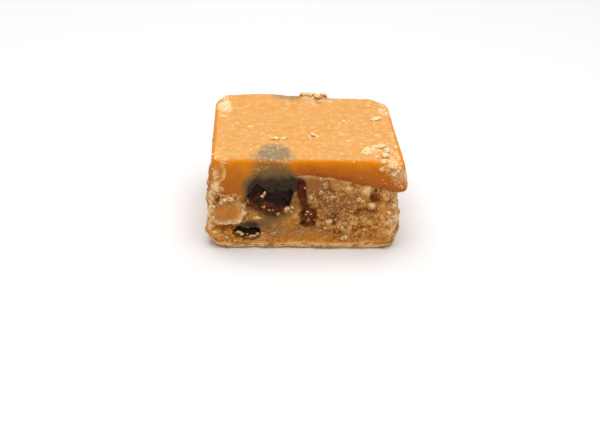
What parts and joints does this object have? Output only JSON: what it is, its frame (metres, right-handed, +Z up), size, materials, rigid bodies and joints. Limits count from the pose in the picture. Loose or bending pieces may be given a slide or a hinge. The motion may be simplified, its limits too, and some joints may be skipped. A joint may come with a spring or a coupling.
{
  "type": "fudge cube",
  "caption": "Cut cube of fudge: a smooth poured layer over a crumbly broken one, with raisins showing at its faces and crumbs on its top.",
  "frame": {"origin": "middle of the flat base, which the cube rests on", "axes": "+X to the right along the longest side, +Y to the back, away from the face with the large raisin, +Z up"},
  "size_m": [0.0346, 0.0267, 0.0185],
  "materials": {
    "fudge": "soft satin top, crumbly sides",
    "raisin": "moist, wrinkled",
    "raisin_skin": "moist, torn"
  },
  "bodies": {
    "root": {"fudge_block": "fudge", "raisin_large": "raisin", "raisin_small": "raisin", "raisin_back": "raisin", "raisin_shred": "raisin_skin"}
  },
  "joints": []
}
